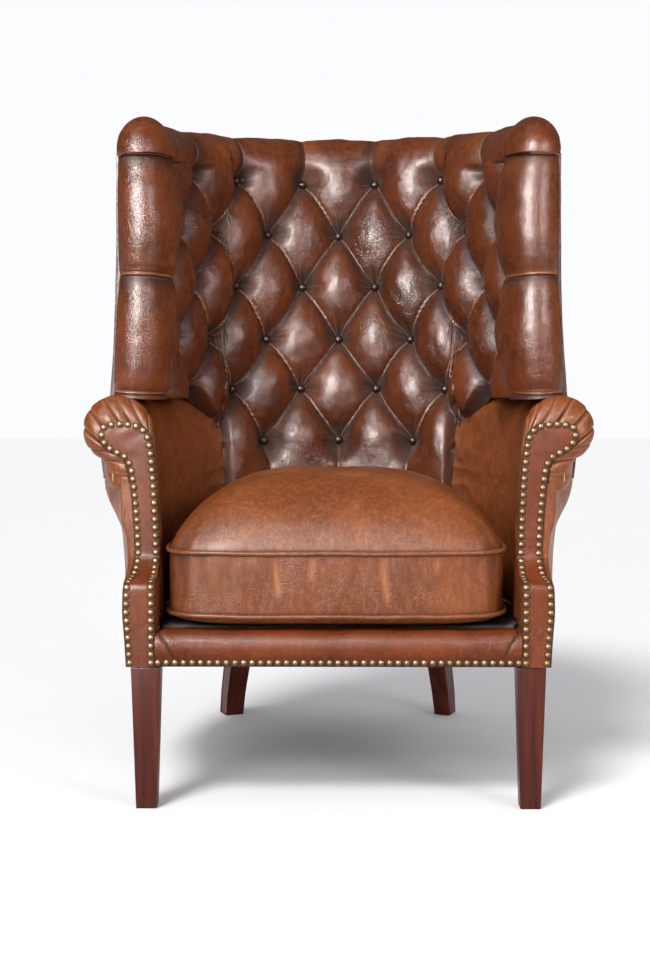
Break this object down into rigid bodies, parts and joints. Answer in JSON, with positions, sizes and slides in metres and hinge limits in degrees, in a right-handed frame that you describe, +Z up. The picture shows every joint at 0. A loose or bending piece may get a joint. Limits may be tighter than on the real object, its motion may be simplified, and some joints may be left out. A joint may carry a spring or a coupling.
{
  "type": "upholstered armchair",
  "caption": "Barrel-back wing armchair in deep-buttoned antiqued leather with scroll arms, nailed facings, square tapered legs and a loose lift-out seat cushion.",
  "frame": {"origin": "centre of the bounding box in X and Y, at the floor under the feet", "axes": "+Z up, the chair faces -Y, +X to the right when looking along +Y (the sitter's left), longest extent along Z"},
  "size_m": [0.8136, 0.7582, 1.12],
  "materials": {
    "back_leather": "antiqued hand-wiped leather, semi-gloss, darker in the folds and lighter on worn seams",
    "arm_leather": "antiqued tan leather, fine pebble grain, semi-gloss",
    "cushion_leather": "antiqued tan leather, creased, satin",
    "facing_leather": "antiqued reddish brown leather, satin",
    "piping_leather": "leather covered cord, worn lighter on top",
    "mahogany": "stained and lacquered straight grain, satin",
    "beech": "sawn, unfinished",
    "nail_brass": "antiqued dome nails, dark in the recesses",
    "spring_steel": "bright drawn wire",
    "burlap": "coarse plain weave",
    "deck_cotton": "brown platform cloth",
    "black_cambric": "thin non-woven cloth",
    "filling": "fibre wrapped foam",
    "zip_tape": "woven tape with a closed coil"
  },
  "bodies": {
    "frame": {"front_leg_left": "mahogany", "front_leg_right": "mahogany", "back_leg_left": "mahogany", "back_leg_right": "mahogany", "front_rail": "beech", "back_rail": "beech", "side_rail_left": "beech", "side_rail_right": "beech", "corner_block_front_left": "beech", "corner_block_front_right": "beech", "corner_block_back_left": "beech", "corner_block_back_right": "beech", "arm_post_left": "beech", "arm_post_right": "beech", "back_upright_left": "beech", "back_upright_right": "beech", "lumbar_rail": "beech", "crest_rail": "beech", "wing_rail_left": "beech", "wing_rail_right": "beech", "arm_rail_left": "beech", "arm_rail_right": "beech", "wing_post_left": "beech", "wing_post_right": "beech", "seat_spring_1": "spring_steel", "seat_spring_2": "spring_steel", "seat_spring_3": "spring_steel", "seat_spring_4": "spring_steel", "seat_spring_5": "spring_steel", "seat_burlap": "burlap", "seat_deck": "deck_cotton", "dust_cover": "black_cambric", "back_hessian": "burlap", "inside_back_pad": "back_leather", "wing_pad_left": "back_leather", "wing_pad_right": "back_leather", "wing_roll_left": "back_leather", "wing_roll_right": "back_leather", "inside_arm_left": "arm_leather", "inside_arm_right": "arm_leather", "arm_scroll_left": "arm_leather", "arm_scroll_right": "arm_leather", "outside_back": "back_leather", "outside_wing_left": "back_leather", "outside_wing_right": "back_leather", "outside_arm_left": "arm_leather", "outside_arm_right": "arm_leather", "arm_facing_left": "facing_leather", "arm_facing_right": "facing_leather", "front_border": "facing_leather", "facing_nails_left": "nail_brass", "facing_nails_right": "nail_brass", "front_rail_nails": "nail_brass"},
    "cushion": {"cushion_cover": "cushion_leather", "cushion_core": "filling", "cushion_zip": "zip_tape", "cushion_piping_top": "piping_leather", "cushion_piping_lower": "piping_leather"}
  },
  "joints": [
    {"name": "cushion_lift", "type": "slide", "parent": "frame", "child": "cushion", "axis": [0, -0.6, 0.8], "range_m": [0, 0.45]}
  ]
}
